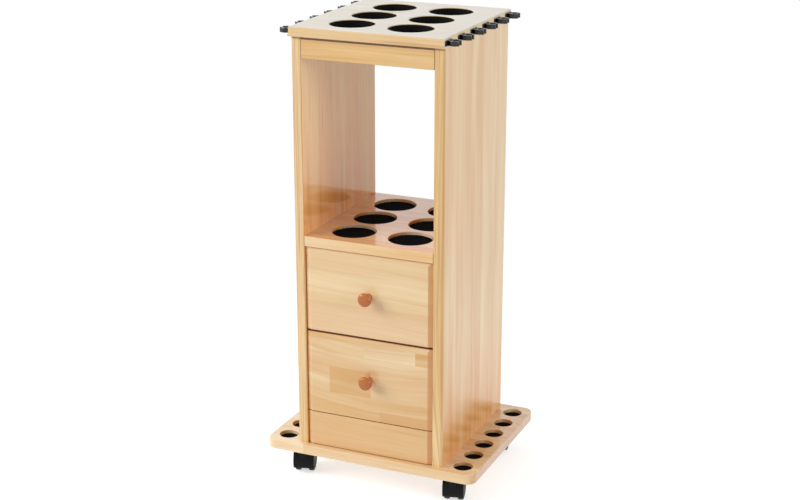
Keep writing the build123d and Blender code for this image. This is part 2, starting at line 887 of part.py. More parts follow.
def make_wheel(side):
    # A twin wheel half: flat tread, and an outer face that domes out to the hub.
    inner_x = web_thickness / 2 + web_side_gap
    tread_x = inner_x + wheel_tread
    hub_x = tread_x + wheel_dome
    bore = axle_radius + running_clearance
    bore_x = inner_x + wheel_hub_bore_depth
    rim = wheel_radius
    edge = wheel_edge_radius
    sides_line = Polyline(
        (bore_x, 0),
        (bore_x, bore),
        (inner_x, bore),
        (inner_x, rim - edge),
        (inner_x + edge, rim),
        (tread_x - edge, rim),
    )
    dome = Spline(
        (tread_x - edge, rim),
        (tread_x + wheel_dome * 0.62, rim * 0.68),
        (hub_x, 0),
        tangents=((1, -1), (0, -1)),
    )
    close = Line((hub_x, 0), (bore_x, 0))
    wheel = revolve(make_face(sides_line + dome + close), Axis.X)
    wheel = Pos(0, caster_trail, wheel_radius) * wheel
    return wheel if side > 0 else mirror(wheel, about=Plane.YZ)


def make_axle():
    reach = web_thickness / 2 + web_side_gap + wheel_hub_bore_depth - slide_clearance
    return axle_cylinder(axle_radius, (-reach, reach))


def make_caster_screws():
    # Pan-head screws through each mounting plate into the base plate.
    low = caster_height - caster_plate_thickness
    shank = disc(caster_screw_radius - glue_clearance, (low, low + caster_screw_length))
    head = disc(caster_screw_head_radius, (low - caster_screw_head_height, low))
    head = fillet(head.faces().sort_by(Axis.Z)[0].edges(), caster_screw_head_rounding)
    slot = Pos(0, 0, low - caster_screw_head_height) * cross_slot(*caster_slot)
    screw = shank + head - slot
    return [
        Pos(hx, hy, 0) * screw
        for x, y in caster_places().values()
        for hx, hy in caster_holes(x, y)
    ]


# ---------------------------------------------------------------- write every piece

write("base_plate", make_base())
write("top_plate", make_top())
write("tube_liners", make_liners())
write("shelf", make_shelf())
write("shelf_pads", make_tube_pads())
write("frieze_rail", make_rail(front_rail_y))
write("rear_rail", make_rail(rear_rail_y))
write("toe_panel", bevelled_ends((base_top + toe_gap, toe_top)))
write("toe_cleat", make_cleat())
write("back_panel", make_back())
for side_name, side_sign in sides.items():
    write(f"side_panel_{side_name}", make_side_panel(side_sign))
    write(f"base_pads_{side_name}", make_rod_pads(side_sign))
    write(f"rod_clips_{side_name}", make_clips(side_sign))
    write(f"drawer_runners_{side_name}", make_runners(side_sign))
write("runner_screws", make_runner_screws())
write("clip_screws", make_clip_screws())
write("case_dowels", make_dowels())
write("case_screws", make_case_screws())
write("caster_screws", make_caster_screws())
for drawer_name in drawer_names:
    make_drawer(drawer_name)
caster_plate = make_caster_plate()
caster_hood = make_caster_hood()
caster_axle = make_axle()
for caster_name, (x, y) in caster_places().items():
    place = Pos(x, y, 0)
    turn = place * Rot(0, 0, caster_yaws[caster_name])
    write(f"caster_{caster_name}_plate", [place * piece for piece in caster_plate])
    write(f"caster_{caster_name}_hood", turn * caster_hood)
    write(f"caster_{caster_name}_axle", turn * caster_axle)
    for side_name, side_sign in sides.items():
        write(f"caster_{caster_name}_wheel_{side_name}", turn * make_wheel(side_sign))
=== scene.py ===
import json
import math
import bmesh
import bpy
from mathutils import Matrix, Vector, noise as perlin

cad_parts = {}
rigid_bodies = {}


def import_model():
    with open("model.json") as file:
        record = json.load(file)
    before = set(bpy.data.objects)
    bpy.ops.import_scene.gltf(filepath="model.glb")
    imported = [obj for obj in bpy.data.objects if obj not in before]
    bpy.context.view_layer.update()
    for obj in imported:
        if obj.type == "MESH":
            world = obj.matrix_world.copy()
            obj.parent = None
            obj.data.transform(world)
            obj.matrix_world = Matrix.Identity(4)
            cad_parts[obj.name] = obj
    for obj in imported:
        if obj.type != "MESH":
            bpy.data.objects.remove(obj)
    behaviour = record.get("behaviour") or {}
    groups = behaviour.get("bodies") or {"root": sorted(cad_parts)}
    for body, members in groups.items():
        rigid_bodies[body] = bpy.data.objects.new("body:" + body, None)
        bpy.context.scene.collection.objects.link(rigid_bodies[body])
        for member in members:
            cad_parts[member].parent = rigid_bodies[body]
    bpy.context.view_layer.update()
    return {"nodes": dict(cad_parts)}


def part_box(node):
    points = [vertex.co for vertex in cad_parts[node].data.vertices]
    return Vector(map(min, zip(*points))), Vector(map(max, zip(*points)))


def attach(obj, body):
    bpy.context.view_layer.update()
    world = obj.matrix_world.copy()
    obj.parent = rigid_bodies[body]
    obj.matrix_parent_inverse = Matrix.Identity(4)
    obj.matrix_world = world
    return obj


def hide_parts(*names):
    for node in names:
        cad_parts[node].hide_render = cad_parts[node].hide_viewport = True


for leftover in list(bpy.data.objects):
    bpy.data.objects.remove(leftover)

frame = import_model()
nodes = frame["nodes"]
print("frame loaded:", len(nodes), "CAD nodes")


# small helpers for objects and node trees

def addObject(name, data):
    item = bpy.data.objects.new(name, data)
    bpy.context.scene.collection.objects.link(item)
    return item


def emptyTree(owner):
    owner.use_nodes = True
    owner.node_tree.nodes.clear()
    return owner.node_tree


def fillSockets(tree, node, inputs):
    # an output of another node is linked, and a plain value is set on the socket itself
    for name, value in inputs.items():
        if isinstance(value, bpy.types.NodeSocket):
            tree.links.new(value, node.inputs[name])
        else:
            node.inputs[name].default_value = value


def addNode(tree, kind, inputs, **settings):
    node = tree.nodes.new(kind)
    for name, value in settings.items():
        setattr(node, name, value)
    fillSockets(tree, node, inputs)
    return node


def calc(tree, operation, first, second=0.0, third=0.0, clamp=False):
    inputs = {0: first, 1: second, 2: third}
    return addNode(tree, "ShaderNodeMath", inputs, operation=operation, use_clamp=clamp).outputs[0]


def times(tree, *values):
    result = values[0]
    for value in values[1:]:
        result = calc(tree, "MULTIPLY", result, value)
    return result


def plus(tree, *values):
    result = values[0]
    for value in values[1:]:
        result = calc(tree, "ADD", result, value)
    return result


def within(tree, value, low, high):
    # 1 between the two limits, 0 outside them
    return times(tree, calc(tree, "GREATER_THAN", value, low), calc(tree, "LESS_THAN", value, high))


def vector(tree, x=0.0, y=0.0, z=0.0):
    return addNode(tree, "ShaderNodeCombineXYZ", {0: x, 1: y, 2: z}).outputs[0]


def split(tree, value):
    return addNode(tree, "ShaderNodeSeparateXYZ", {0: value}).outputs


def objectPlace(tree):
    return addNode(tree, "ShaderNodeTexCoord", {}).outputs["Object"]


def stretched(tree, parts, factors):
    return vector(tree, *(times(tree, part, factor) for part, factor in zip(parts, factors)))


def mixColour(tree, amount, first, second, blend="MIX"):
    inputs = {0: amount}
    for index, colour in ((6, first), (7, second)):
        inputs[index] = colour if isinstance(colour, bpy.types.NodeSocket) else (*colour, 1.0)
    return addNode(tree, "ShaderNodeMix", inputs, data_type="RGBA", blend_type=blend).outputs[2]


def ramp(tree, value, stops):
    # stops are (position, grey), from left to right
    node = addNode(tree, "ShaderNodeValToRGB", {0: value})
    elements = node.color_ramp.elements
    while len(elements) < len(stops):
        elements.new(0.5)
    for element, (position, grey) in zip(elements, stops):
        element.position = position
        element.color = (grey, grey, grey, 1)
    return node.outputs[0]


def rise(tree, value, start, end):
    # 0 up to the start, 1 from the end on, a straight slope between them
    return ramp(tree, value, ((start, 0.0), (end, 1.0)))


def randomNumber(tree, value):
    return addNode(tree, "ShaderNodeTexWhiteNoise", {"W": value}, noise_dimensions="1D").outputs[0]


def noise(tree, place, scale, detail=2.0, rough=0.5, warp=0.0):
    inputs = {"Vector": place, "Scale": scale, "Detail": detail, "Roughness": rough, "Distortion": warp}
    return addNode(tree, "ShaderNodeTexNoise", inputs).outputs[0]


def bumped(tree, height, strength, distance=0.0002):
    inputs = {"Strength": strength, "Distance": distance, "Height": height}
    return addNode(tree, "ShaderNodeBump", inputs).outputs[0]


def newMaterial(name):
    material = bpy.data.materials.new(name)
    tree = emptyTree(material)
    shader = addNode(tree, "ShaderNodeBsdfPrincipled", {})
    addNode(tree, "ShaderNodeOutputMaterial", {0: shader.outputs[0]})
    return material, tree, shader


def linear(red, green, blue):
    # a colour as it reads on screen, 0 to 255, turned to the linear values of a shader
    made = []
    for part in (red, green, blue):
        share = part / 255
        made.append(share / 12.92 if share <= 0.04045 else ((share + 0.055) / 1.055) ** 2.4)
    return tuple(made)


# lacquered pine: boards glued edge to edge, each piece with its own tone and figure

pineLook = {
    "axes": "XZY",                     # along the grain, across the board, through its thickness
    "seed": 1.0,
    # colours
    "pale": linear(240, 212, 164),
    "warm": linear(232, 194, 138),
    "flush": linear(230, 186, 146),    # the pinkish tinge of some boards
    "line": linear(196, 134, 76),      # latewood
    # the end grain's own colour, which the bevel, arris and bay marks also use for painted shade
    "endGrainAndShade": linear(205, 145, 85),
    # painted shade for the gaps between boards, in a stain-like tone
    "edgeShadeTone": linear(184, 112, 52),
    # the colour of the painted shade lines in joints and gaps
    "seamShadeTone": linear(84, 34, 12),
    # the boards that are glued edge to edge, and the finger-jointed pieces in each
    "stave": 0.053,                    # width of a board
    "staveShift": 0.0,
    "block": 2.0,                      # length of a piece
    "blockTone": 0.5,                  # how far the pieces differ in colour
    "blocks": (),                      # placed one by one: along from, to, across from, to, (tone, pith, flush)
    # growth rings
    "sweep": (0.0, 0.0),               # the grain's slope and curve along the board
    "wander": 1.2,                     # how far it wavers, in centimetres
    "pith": (0.0, 0.06),               # the tree's centre: across the board and through it
    "pithSpread": (0.05, 0.03),        # how far that differs from piece to piece
    "tilt": (0.012, 0.02),             # how much the tree leans against the board
    "ringGap": 0.0055,
    "ringDepth": 0.22,
    # figure along the grain
    "bands": 0.9,                      # soft broad bands
    "streaks": 0.7,                    # narrower ones
    "hairs": 0.25,                     # thin dark streaks here and there
    "fibre": 0.10,
    "flushing": 0.5,
    # faces that look different
    "cut": 0.55,                       # how much darker the end grain is
    "bevel": 0.0,                      # darkening of the sloping end on the +X side: end grain, and painted shade of the side turned from the lamp
    "edges": 0.0,                      # painted shade of the gaps between boards, as a darker stain-like tone on the edges along the board
    "arris": 0.0,                      # painted shade: a darker line along rounded upright corners
    "bay": 0.0,                        # painted shade on the faces inside the drawer bay
    "frontTint": (1.0, 1.0, 1.0),      # the front edge's own tint
    "sideTint": (1.0, 1.0, 1.0),       # the tint of the faces to the left and right
    "leftTint": (1.0, 1.0, 1.0),       # the tint of the faces to the left only
    "frontLines": 0.0,                 # fine lines along the front edge
    "frontFineness": 520.0,
    "arch": (),                        # a cathedral low on the front edge: top, middle, fineness, steepness
    "foot": (),                        # heights between which painted shade and a painted warm reflection grow towards the lower one
    "footTint": (1.0, 0.8, 0.52),
    "seamShades": (),                       # painted shade lines in joints and gaps on the front: axis, from, to, strength
    # lacquer
    "coat": 1.0,
    "gloss": 0.09,
    "specular": 0.12,
    "roughness": 0.30,
    "dullness": 0.12,                  # how much rougher the fibres are
    "relief": 0.10,
    "ringRelief": 0.4,                 # how much of it the rings have
}

# what is the same in every board; fineness is in waves to the metre, stops are (noise, strength)
pineGrain = {
    "shift": 7.0,                      # how far apart the noise of two pieces is read
    "waver": (5.0, 9.0),               # fineness along and across
    "fibre": (16.0, 900.0),
    "through": 0.6,                    # fineness through the board, as a share of that across it
    "warp": 0.1,
    "yearFineness": 40.0,
    "yearSwing": 5.0,                  # by how many rings the unevenness of the years moves them
    "yearDepth": (0.8, 0.2),           # how much of a ring's depth is chance, and how much is sure
    "yearStops": ((0.0, 0.45), (0.2, 0.0), (0.4, 0.05), (0.75, 0.6), (0.88, 1.0), (1.0, 0.45)),
    "clearingStops": ((0.36, 0.25), (0.6, 1.0)),
    "hairStops": ((0.24, 1.0), (0.36, 0.0)),
    "flushStops": ((0.4, 0.0), (0.62, 1.0)),
    "flushSwing": 0.35,                # how far the pieces differ in flush
    "footStops": ((0.36, 0.35), (0.6, 1.0)),
    "frontLineStops": ((0.5, 0.0), (0.62, 1.0)),
    "frontLineWaver": 4.0,
}

# noise that is drawn out along the grain: fineness along and across, offset, detail, roughness
figureKinds = {
    "bands": (2.6, 38.0, 0.0, 1.0, 0.5),
    "streaks": (4.5, 135.0, 3.1, 2.0, 0.55),
    "hairs": (6.0, 260.0, 5.7, 1.0, 0.5),
    "clearings": (4.0, 14.0, 8.3, 1.0, 0.5),    # patches where the rings show less
    "flushes": (2.0, 26.0, 11.9, 1.0, 0.5),
}

# a normal's part along an axis, where its face begins to count as facing that way, and where it fully does
facingSquarely = (0.5, 0.9)
facingRoughly = (0.3, 0.8)

# the room between the side panels that the drawers slide in, whose faces get painted shade
drawerBay = {"top": 0.439, "halfWidth": 0.1172, "front": -0.139}


def pieceDraws(tree, look, wood):
    # three random numbers for every finger-jointed piece: tone, place in the tree, flush
    shifted = plus(tree, wood["across"], -look["staveShift"])
    row = calc(tree, "FLOOR", calc(tree, "DIVIDE", shifted, look["stave"]))
    rowDraw = randomNumber(tree, plus(tree, row, look["seed"]))
    started = plus(tree, wood["along"], times(tree, rowDraw, look["block"]))
    column = calc(tree, "FLOOR", calc(tree, "DIVIDE", started, look["block"]))
    place = vector(tree, row, column, look["seed"])
    draw = addNode(tree, "ShaderNodeTexWhiteNoise", {"Vector": place}, noise_dimensions="3D").outputs[1]
    for start, end, low, high, numbers in look["blocks"]:
        inside = times(tree, within(tree, wood["along"], start, end), within(tree, wood["across"], low, high))
        draw = mixColour(tree, inside, draw, numbers)
    return split(tree, draw)


def placeInBoard(tree, look):
    # where a point lies in its board, which way its face looks, and how the grain runs there
    coordinates = addNode(tree, "ShaderNodeTexCoord", {}).outputs
    parts = split(tree, coordinates["Object"])
    along, across, through = (parts[letter] for letter in look["axes"])
    wood = {"parts": parts, "along": along, "across": across, "through": through,
            "normals": split(tree, coordinates["Normal"])}
    wood["drawn"] = pieceDraws(tree, look, wood)
    wood["shift"] = times(tree, wood["drawn"][1], pineGrain["shift"])

    # the grain slopes, curves and wavers along the board
    long, short = pineGrain["waver"]
    place = vector(tree, calc(tree, "MULTIPLY_ADD", along, long, wood["shift"]), times(tree, across, short),
                   times(tree, through, short))
    wood["waver"] = noise(tree, place, 1.0, 2.0)
    slope, curve = look["sweep"]
    wood["bent"] = plus(tree, across, times(tree, along, -slope), times(tree, along, along, -curve),
                        times(tree, plus(tree, wood["waver"], -0.5), look["wander"] * 0.01))
    return wood


def growthRings(tree, look, wood):
    # rings round the tree's centre, which leans a little against the board
    lean, far = [], []
    for number in (0, 1):
        swing = plus(tree, wood["drawn"][number], -0.5)
        lean.append(times(tree, wood["along"], swing, 2 * look["tilt"][number]))
        swing = plus(tree, wood["drawn"][number + 1], -0.5)
        far.append(calc(tree, "MULTIPLY_ADD", swing, 2 * look["pithSpread"][number], look["pith"][number]))
    sideways = plus(tree, wood["bent"], times(tree, far[0], -1.0), lean[0])
    inward = plus(tree, wood["through"], times(tree, far[1], -1.0), lean[1])
    radius = calc(tree, "SQRT", plus(tree, times(tree, sideways, sideways), times(tree, inward, inward)))

    # no two years are alike in width or depth
    place = vector(tree, times(tree, radius, pineGrain["yearFineness"]), 0.3, look["seed"])
    uneven = times(tree, noise(tree, place, 1.0, 2.0), pineGrain["yearSwing"])
    turns = plus(tree, calc(tree, "DIVIDE", radius, look["ringGap"]), uneven)
    year = calc(tree, "FLOOR", turns)
    late = ramp(tree, plus(tree, turns, times(tree, year, -1.0)), pineGrain["yearStops"])
    return times(tree, late, calc(tree, "MULTIPLY_ADD", randomNumber(tree, year), *pineGrain["yearDepth"]))


def drawnOutFigure(tree, wood):
    figure = {}
    for kind, (stretch, fineness, offset, detail, rough) in figureKinds.items():
        place = vector(tree, calc(tree, "MULTIPLY_ADD", wood["along"], stretch, wood["shift"]),
                       calc(tree, "MULTIPLY_ADD", wood["bent"], fineness, plus(tree, wood["shift"], offset)),
                       times(tree, wood["through"], fineness * pineGrain["through"]))
        figure[kind] = noise(tree, place, 1.0, detail, rough, pineGrain["warp"])
    return figure


def boardColour(tree, look, wood, rings, figure, fibre):
    drawn = wood["drawn"]
    tone = plus(tree, times(tree, plus(tree, drawn[0], -0.5), 2 * look["blockTone"]), 0.5)
    for kind in ("bands", "streaks"):
        tone = plus(tree, tone, times(tree, plus(tree, figure[kind], -0.5), 2 * look[kind]))
    tone = calc(tree, "ADD", tone, 0.0, clamp=True)
    colour = mixColour(tree, tone, look["pale"], look["warm"])

    flushes = plus(tree, figure["flushes"], times(tree, plus(tree, drawn[2], -0.5), pineGrain["flushSwing"]))
    pinkness = times(tree, ramp(tree, flushes, pineGrain["flushStops"]), look["flushing"])
    colour = mixColour(tree, pinkness, colour, look["flush"])

    showing = ramp(tree, figure["clearings"], pineGrain["clearingStops"])
    colour = mixColour(tree, times(tree, rings, look["ringDepth"], showing), colour, look["line"])
    hairs = times(tree, ramp(tree, figure["hairs"], pineGrain["hairStops"]), look["hairs"])
    colour = mixColour(tree, hairs, colour, look["line"])

    fine = calc(tree, "MULTIPLY_ADD", plus(tree, fibre, -0.5), 2 * look["fibre"], 1.0)
    return mixColour(tree, 1.0, colour, vector(tree, fine, fine, fine), "MULTIPLY")


def darkenedAndShadedFaces(tree, look, wood, colour):
    # a face cut across the grain drinks more lacquer and is darker; the bevel, edge, arris and bay marks
    # below are painted shade
    parts, normals = wood["parts"], wood["normals"]
    facing = normals[look["axes"][0]]
    dark = times(tree, rise(tree, calc(tree, "ABSOLUTE", facing), *facingSquarely), look["cut"])
    if look["bevel"]:
        # the bevel's normal leans only a little towards the grain; only the +X bevel darkens, end grain with
        # painted shade
        sloping = times(tree, rise(tree, facing, 0.10, 0.2), look["bevel"])
        dark = calc(tree, "MAXIMUM", dark, sloping)
    # painted shade of the gaps: the edges along the board take a darker stain-like tone
    if look["edges"]:
        upward = rise(tree, calc(tree, "ABSOLUTE", normals[look["axes"][1]]), 0.8, 0.95)
        colour = mixColour(tree, times(tree, upward, look["edges"]), colour, look["edgeShadeTone"])
    if look["arris"]:
        # painted shade on rounded corners: this product is a half in the middle of a rounded corner, and
        # nothing on the flats
        corner = calc(tree, "ABSOLUTE", times(tree, normals["X"], normals["Y"]))
        dark = calc(tree, "MAXIMUM", dark, times(tree, rise(tree, corner, 0.2, 0.42), look["arris"]))
    # painted shade on the faces inside the drawer bay
    if look["bay"]:
        inside = times(tree, calc(tree, "LESS_THAN", parts["Z"], drawerBay["top"]),
                       calc(tree, "LESS_THAN", calc(tree, "ABSOLUTE", parts["X"]), drawerBay["halfWidth"]),
                       calc(tree, "GREATER_THAN", parts["Y"], drawerBay["front"]))
        dark = calc(tree, "MAXIMUM", dark, times(tree, inside, look["bay"]))
    return mixColour(tree, dark, colour, look["endGrainAndShade"])


def shadedFoot(tree, look, wood, figure, colour):
    # painted shade and a painted warm reflection of the boards below grow towards an upright board's foot,
    # unevenly, on its +X face
    bottom, top = look["foot"]
    inputs = {"Value": wood["parts"]["Z"], "From Min": bottom, "From Max": top, "To Min": 1.0, "To Max": 0.0}
    low = addNode(tree, "ShaderNodeMapRange", inputs, interpolation_type="SMOOTHSTEP").outputs[0]
    side = rise(tree, wood["normals"]["X"], *facingSquarely)
    mean = plus(tree, times(tree, figure["bands"], 0.5), times(tree, figure["streaks"], 0.5))
    uneven = ramp(tree, mean, pineGrain["footStops"])
    return mixColour(tree, times(tree, low, side, uneven), colour, look["footTint"], "MULTIPLY")


def linedFront(tree, look, wood, ahead, colour):
    # an upright board's front edge shows its years as fine lines, and low down as arches
    lines = times(tree, wood["through"], look["frontFineness"])
    if look["arch"]:
        top, middle, fineness, steepness = look["arch"]
        away = plus(tree, wood["through"], -middle)
        blunt = calc(tree, "SQRT", plus(tree, times(tree, away, away), 0.000001))    # keeps the top round
        lines = plus(tree, times(tree, blunt, fineness),
                     times(tree, calc(tree, "MINIMUM", wood["along"], top), steepness))
    wavering = plus(tree, lines, times(tree, wood["waver"], pineGrain["frontLineWaver"]))
    place = vector(tree, times(tree, wood["along"], 5.0), 0.7, wavering)
    drawn = ramp(tree, noise(tree, place, 1.0, 1.0), pineGrain["frontLineStops"])
    return mixColour(tree, times(tree, drawn, ahead, look["frontLines"]), colour, look["line"])


def tintedFaces(tree, look, wood, ahead, colour):
    turned = wood["normals"]["X"]
    aside = rise(tree, calc(tree, "ABSOLUTE", turned), *facingRoughly)
    leftward = rise(tree, times(tree, turned, -1.0), *facingRoughly)
    for facing, tint in ((ahead, "frontTint"), (aside, "sideTint"), (leftward, "leftTint")):
        if look[tint] != pineLook[tint]:
            tinted = mixColour(tree, 1.0, colour, vector(tree, *look[tint]), "MULTIPLY")
            colour = mixColour(tree, facing, colour, tinted)
    return colour


def pine(name, changes):
    look = {**pineLook, **changes}
    material, tree, shader = newMaterial(name)
    wood = placeInBoard(tree, look)
    rings = growthRings(tree, look, wood)
    figure = drawnOutFigure(tree, wood)
    long, short = pineGrain["fibre"]
    fibrePlace = stretched(tree, (wood["along"], wood["bent"], wood["through"]), (long, short, short))
    fibre = noise(tree, fibrePlace, 1.0, 3.0, 0.65)

    colour = boardColour(tree, look, wood, rings, figure, fibre)
    colour = darkenedAndShadedFaces(tree, look, wood, colour)
    if look["foot"]:
        colour = shadedFoot(tree, look, wood, figure, colour)
    ahead = rise(tree, times(tree, wood["normals"]["Y"], -1.0), *facingRoughly)
    if look["frontLines"]:
        colour = linedFront(tree, look, wood, ahead, colour)
    colour = tintedFaces(tree, look, wood, ahead, colour)
    # painted shade lines, drawn in the joints and gaps of the front
    for letter, start, end, strength in look["seamShades"]:
        seamShade = times(tree, within(tree, wood["parts"][letter], start, end), ahead, strength)
        colour = mixColour(tree, seamShade, colour, look["seamShadeTone"])

    height = plus(tree, times(tree, rings, look["ringRelief"]), fibre)
    fillSockets(tree, shader, {
        "Base Color": colour,
        "Normal": bumped(tree, height, look["relief"]),
        "Roughness": calc(tree, "MULTIPLY_ADD", fibre, look["dullness"], look["roughness"]),
        "Specular IOR Level": look["specular"],
        "Coat Weight": look["coat"],
        "Coat Roughness": look["gloss"]})
    return material


# stained knob wood, plywood, felt, rubber, plastics and metal

knobLook = {
    "body": linear(194, 110, 46),
    "line": linear(140, 64, 22),
    "stretch": (60.0, 14.0, 60.0),     # how fine the swirls are along each axis
    "ringGap": 0.0022,
    "swirl": 2.5,                      # how many rings the swirls push aside
    "lineDepth": 0.35,
    "relief": 0.08,
    "roughness": 0.4,
    "specular": 0.2,
    "coat": 0.7,
    "gloss": 0.12,
}


def knobWood():
    material, tree, shader = newMaterial("stained knob wood")
    parts = split(tree, objectPlace(tree))
    swirl = noise(tree, stretched(tree, parts, knobLook["stretch"]), 1.0, 3.0)
    rings = calc(tree, "DIVIDE", plus(tree, parts[0], parts[2]), knobLook["ringGap"])
    arcs = calc(tree, "FRACT", plus(tree, rings, times(tree, swirl, knobLook["swirl"])))
    line = ramp(tree, arcs, ((0.0, 0.2), (0.3, 0.0), (0.85, 0.9), (1.0, 0.2)))
    colour = mixColour(tree, times(tree, line, knobLook["lineDepth"]), knobLook["body"], knobLook["line"])
    clouds = ramp(tree, swirl, ((0.35, 0.0), (0.7, 0.35)))
    fillSockets(tree, shader, {
        "Base Color": mixColour(tree, clouds, colour, knobLook["line"]),
        "Normal": bumped(tree, arcs, knobLook["relief"]),
        "Roughness": knobLook["roughness"],
        "Specular IOR Level": knobLook["specular"],
        "Coat Weight": knobLook["coat"],
        "Coat Roughness": knobLook["gloss"]})
    return material


plyLook = {
    "pale": linear(226, 196, 150),
    "dark": linear(200, 160, 112),
    "stretch": (3.0, 90.0, 90.0),      # the face grain runs from left to right
    "relief": 0.15,
    "roughness": 0.5,
}


def plywood():
    material, tree, shader = newMaterial("birch plywood")
    parts = split(tree, objectPlace(tree))
    grain = noise(tree, stretched(tree, parts, plyLook["stretch"]), 1.0, 4.0, 0.6, 0.4)
    fillSockets(tree, shader, {
        "Base Color": mixColour(tree, grain, plyLook["pale"], plyLook["dark"]),
        "Normal": bumped(tree, grain, plyLook["relief"]),
        "Roughness": plyLook["roughness"]})
    return material


feltLook = {
    "black": linear(9, 10, 12),
    "grey": linear(24, 26, 29),
    "shadow": linear(6, 7, 8),
    "fluff": 2600.0,                   # fineness
    "clumps": 260.0,
    "clumpDepth": 0.5,
    "relief": 0.7,
    "reliefDepth": 0.0006,
    "roughness": 1.0,
    "specular": 0.03,
}


def felt():
    material, tree, shader = newMaterial("black felt")
    place = objectPlace(tree)
    fluff = noise(tree, place, feltLook["fluff"], 4.0, 0.7)
    clumps = noise(tree, place, feltLook["clumps"], 3.0, 0.6)
    colour = mixColour(tree, fluff, feltLook["black"], feltLook["grey"])
    shaded = times(tree, clumps, feltLook["clumpDepth"])
    fillSockets(tree, shader, {
        "Base Color": mixColour(tree, shaded, colour, feltLook["shadow"]),
        "Normal": bumped(tree, plus(tree, fluff, clumps), feltLook["relief"], feltLook["reliefDepth"]),
        "Roughness": feltLook["roughness"],
        "Specular IOR Level": feltLook["specular"]})
    return material


mouldLook = {"patches": 45.0, "darker": 0.8, "paler": 1.25, "dullness": 0.16}
linerLook = {"colour": linear(10, 11, 12), "roughness": 0.8, "grain": 1400.0, "relief": 0.5, "specular": 0.1}
clipLook = {"colour": linear(11, 12, 15), "roughness": 0.24, "grain": 2200.0, "relief": 0.08, "specular": 0.6}
hoodLook = {"colour": linear(6, 7, 8), "roughness": 0.42, "grain": 1600.0, "relief": 0.2, "specular": 0.15}
treadLook = {"colour": linear(10, 11, 12), "roughness": 0.5, "grain": 1600.0, "relief": 0.2, "specular": 0.2}


def plastic(name, look):
    # moulded plastic with a fine spark-eroded grain and faint dull patches
    material, tree, shader = newMaterial(name)
    place = objectPlace(tree)
    grain = noise(tree, place, look["grain"], 2.0, 0.6)
    patches = noise(tree, place, mouldLook["patches"], 3.0, 0.5)
    darker = tuple(part * mouldLook["darker"] for part in look["colour"])
    paler = tuple(min(1.0, part * mouldLook["paler"]) for part in look["colour"])
    smoothest = look["roughness"] - mouldLook["dullness"] / 2
    fillSockets(tree, shader, {
        "Base Color": mixColour(tree, patches, darker, paler),
        "Normal": bumped(tree, grain, look["relief"]),
        "Roughness": calc(tree, "MULTIPLY_ADD", patches, mouldLook["dullness"], smoothest),
        "Specular IOR Level": look["specular"]})
    return material


zincLook = {
    "bright": linear(196, 198, 200),
    "dull": linear(168, 171, 176),
    "bloom": 220.0,                    # fineness of the dull bloom
    "roughness": 0.2,
    "dullness": 0.2,                   # how much rougher the bloom is
    "relief": 0.1,
    "reliefDepth": 0.0001,
}


def zinc():
    material, tree, shader = newMaterial("zinc plate")
    bloom = noise(tree, objectPlace(tree), zincLook["bloom"], 3.0, 0.6)
    fillSockets(tree, shader, {
        "Base Color": mixColour(tree, bloom, zincLook["bright"], zincLook["dull"]),
        "Normal": bumped(tree, bloom, zincLook["relief"], zincLook["reliefDepth"]),
        "Roughness": calc(tree, "MULTIPLY_ADD", bloom, zincLook["dullness"], zincLook["roughness"]),
        "Metallic": 1.0})
    return material


# every board's own look, and the finish that it makes

# painted shade in the joints and gaps: under the top plate's overhang, and between the fronts
panelTopShade = ("Z", 0.7898, 0.795, 0.5)
frontEdgeTone = linear(216, 150, 84)
frontGapShade = linear(120, 44, 10)

# painted shade: a darker arris, the drawer bay, the foot with a painted warm reflection, and the line under
# the top
rightLook = {
    "axes": "ZYX", "seed": 4.0,
    "pale": linear(250, 220, 170), "warm": linear(228, 180, 118), "flush": linear(234, 188, 132),
    "line": linear(180, 118, 62), "endGrainAndShade": linear(170, 88, 40),
    "stave": 0.058, "staveShift": 0.029, "block": 20.0, "blockTone": 0.25,
    "blocks": ((-1.0, 1.0, 0.087, 0.2, (0.05, 0.88, 0.85)),
               (-1.0, 1.0, -0.2, -0.12, (0.8, 0.6, 0.7))),
    "wander": 2.2, "pith": (0.0, 0.10), "pithSpread": (0.13, 0.03), "tilt": (0.01, 0.045),
    "ringGap": 0.012, "ringDepth": 0.12,
    "bands": 1.1, "streaks": 0.22, "hairs": 0.15, "fibre": 0.08, "flushing": 0.4,
    "cut": 0.0, "arris": 0.12, "bay": 1.0, "frontTint": (1.0, 1.05, 0.99),
    "frontLines": 0.42, "arch": (0.22, 0.001, 900.0, 100.0),
    "foot": (0.05, 0.33), "footTint": (0.98, 0.64, 0.27),
    "seamShades": (panelTopShade,), "gloss": 0.24,
}
rightPine = pine("right panel pine", rightLook)

# painted shade: a darker arris, the drawer bay, a warmer band low on the inner face with a painted warm
# reflection, and the line under the top
leftLook = {
    "axes": "ZYX", "seed": 6.0,
    "pale": linear(255, 224, 166), "warm": linear(247, 204, 132), "flush": linear(247, 198, 142),
    "line": linear(186, 112, 52), "endGrainAndShade": linear(170, 88, 40),
    "stave": 0.058, "staveShift": 0.029,
    "pith": (0.0, 0.09), "ringDepth": 0.2,
    "bands": 0.5, "streaks": 0.6, "hairs": 0.5,
    "cut": 0.0, "arris": 0.3, "bay": 1.0, "frontTint": (0.91, 0.96, 1.05), "leftTint": (0.9, 0.93, 1.06),
    "frontLines": 0.35, "foot": (0.42, 0.66), "footTint": (0.99, 0.67, 0.33),
    "seamShades": (panelTopShade,),
}
leftPine = pine("left panel pine", leftLook)

